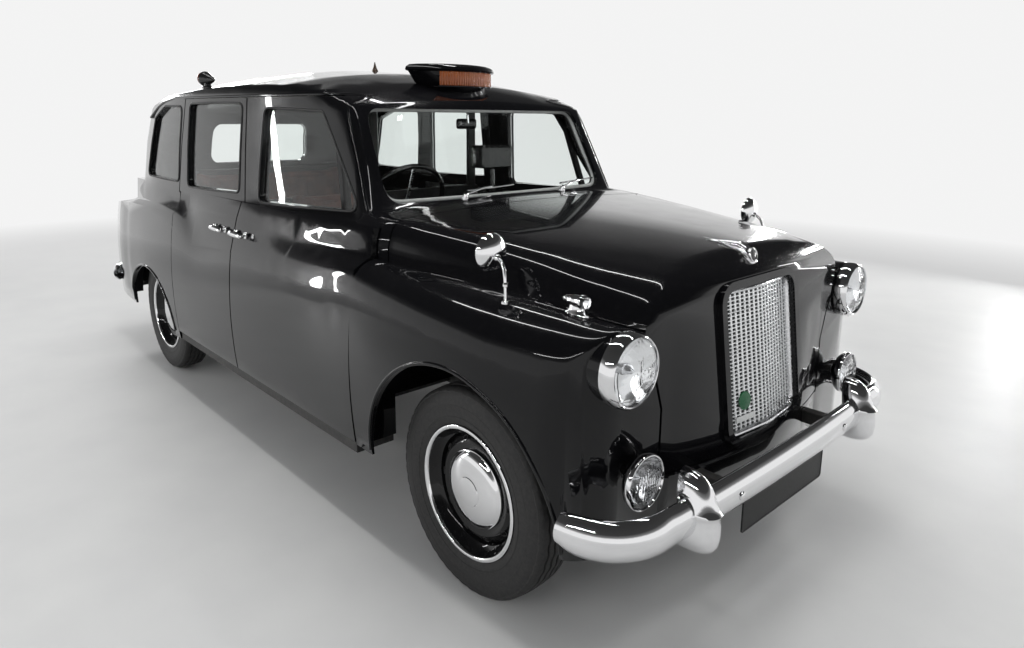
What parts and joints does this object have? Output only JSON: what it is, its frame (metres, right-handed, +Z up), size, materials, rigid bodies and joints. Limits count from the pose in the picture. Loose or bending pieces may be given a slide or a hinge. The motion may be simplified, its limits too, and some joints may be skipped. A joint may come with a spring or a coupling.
{
  "type": "taxi cab",
  "caption": "Black saloon-bodied taxi cab of the 1960s with opening doors, bonnet and boot, rolling wheels and linked steering.",
  "frame": {"origin": "on the ground, at the centre of the bottom of the whole cab's box", "axes": "+X forward, +Y to the cab's left, +Z up"},
  "size_m": [4.56, 1.7402, 1.762],
  "materials": {
    "amber": "ribbed",
    "body_black": "gloss",
    "chassis_black": "satin",
    "chrome": "polished",
    "dash": "matt",
    "engine_grey": "rough",
    "exhaust_steel": "dull",
    "finial_brown": "matt",
    "glass": "clear",
    "lamp_glass": "fluted",
    "leather": "fluted",
    "mesh": "satin",
    "red_lamp": "ribbed",
    "tyre": "matt",
    "wheel_black": "gloss"
  },
  "bodies": {
    "root": {"floor_pan": "chassis_black", "chassis_frame": "chassis_black", "engine": "engine_grey", "driveline": "chassis_black", "rear_axle": "chassis_black", "front_suspension": "chassis_black", "exhaust": "exhaust_steel", "fuel_tank": "chassis_black", "scuttle": "body_black", "roof": "body_black", "rear_quarter_right": "body_black", "rear_quarter_left": "body_black", "rear_panel": "body_black", "front_wing_right": "body_black", "front_wing_left": "body_black", "front_apron": "body_black", "inner_wings": "chassis_black", "fixed_glass": "glass", "front_bumper": "chrome", "rear_bumper": "chrome", "headlamps": "lamp_glass", "fog_lamps": "lamp_glass", "side_lamps": "chrome", "tail_lamps": "red_lamp", "roof_sign": "body_black", "roof_indicators": "amber", "finial": "finial_brown", "wing_mirrors": "chrome", "wipers": "chrome", "dashboard": "dash", "driver_seat": "leather", "partition": "dash", "rear_seat": "leather", "door_posts": "body_black"},
    "bonnet": {"bonnet": "body_black", "grille": "mesh", "bonnet_ornament": "chrome"},
    "boot_lid": {"boot_lid": "body_black"},
    "front_door_right": {"front_door_right": "body_black", "front_door_glass_right": "glass"},
    "front_door_left": {"front_door_left": "body_black", "front_door_glass_left": "glass"},
    "rear_door_right": {"rear_door_right": "body_black", "rear_door_glass_right": "glass"},
    "rear_door_left": {"rear_door_left": "body_black", "rear_door_glass_left": "glass"},
    "knuckle_right": {"knuckle_right": "chassis_black"},
    "knuckle_left": {"knuckle_left": "chassis_black"},
    "steering_wheel": {"steering_wheel": "dash"},
    "wheel_front_right": {"wheel_front_right": "wheel_black", "tyre_front_right": "tyre"},
    "wheel_front_left": {"wheel_front_left": "wheel_black", "tyre_front_left": "tyre"},
    "wheel_rear_right": {"wheel_rear_right": "wheel_black", "tyre_rear_right": "tyre"},
    "wheel_rear_left": {"wheel_rear_left": "wheel_black", "tyre_rear_left": "tyre"}
  },
  "joints": [
    {"name": "steer_right", "type": "hinge", "parent": "root", "child": "knuckle_right", "pos_m": [1.546, -0.6, 0.34], "axis": [0, 0, 1], "range_deg": [-45, 45]},
    {"name": "roll_front_right", "type": "hinge", "parent": "knuckle_right", "child": "wheel_front_right", "pos_m": [1.546, -0.711, 0.34], "axis": [0, 1, 0], "continuous": true},
    {"name": "roll_rear_right", "type": "hinge", "parent": "root", "child": "wheel_rear_right", "pos_m": [-1.264, -0.711, 0.34], "axis": [0, 1, 0], "continuous": true},
    {"name": "front_door_right_hinge", "type": "hinge", "parent": "root", "child": "front_door_right", "pos_m": [1.015, -0.871, 0.7], "axis": [0, 0, 1], "range_deg": [0, 68]},
    {"name": "rear_door_right_hinge", "type": "hinge", "parent": "root", "child": "rear_door_right", "pos_m": [-0.803, -0.872, 0.7], "axis": [0, 0, -1], "range_deg": [0, 75]},
    {"name": "steer_left", "type": "hinge", "parent": "root", "child": "knuckle_left", "pos_m": [1.546, 0.6, 0.34], "axis": [0, 0, 1], "range_deg": [-45, 45]},
    {"name": "roll_front_left", "type": "hinge", "parent": "knuckle_left", "child": "wheel_front_left", "pos_m": [1.546, 0.711, 0.34], "axis": [0, 1, 0], "continuous": true},
    {"name": "roll_rear_left", "type": "hinge", "parent": "root", "child": "wheel_rear_left", "pos_m": [-1.264, 0.711, 0.34], "axis": [0, 1, 0], "continuous": true},
    {"name": "front_door_left_hinge", "type": "hinge", "parent": "root", "child": "front_door_left", "pos_m": [1.015, 0.871, 0.7], "axis": [0, 0, -1], "range_deg": [0, 68]},
    {"name": "rear_door_left_hinge", "type": "hinge", "parent": "root", "child": "rear_door_left", "pos_m": [-0.803, 0.872, 0.7], "axis": [0, 0, 1], "range_deg": [0, 75]},
    {"name": "steering_wheel_turn", "type": "hinge", "parent": "root", "child": "steering_wheel", "pos_m": [0.585, -0.345, 1.11], "axis": [-0.866, 0, 0.5], "range_deg": [-720, 720]},
    {"name": "bonnet_hinge", "type": "hinge", "parent": "root", "child": "bonnet", "pos_m": [1.072, 0, 1.166], "axis": [0, -1, 0], "range_deg": [0, 50]},
    {"name": "boot_hinge", "type": "hinge", "parent": "root", "child": "boot_lid", "pos_m": [-1.697, 0, 1.1], "axis": [0, 1, 0], "range_deg": [0, 70]}
  ],
  "couplings": [
    {"joint": "steer_left", "follows": "steer_right", "ratio": 1},
    {"joint": "steering_wheel_turn", "follows": "steer_right", "ratio": 14}
  ]
}
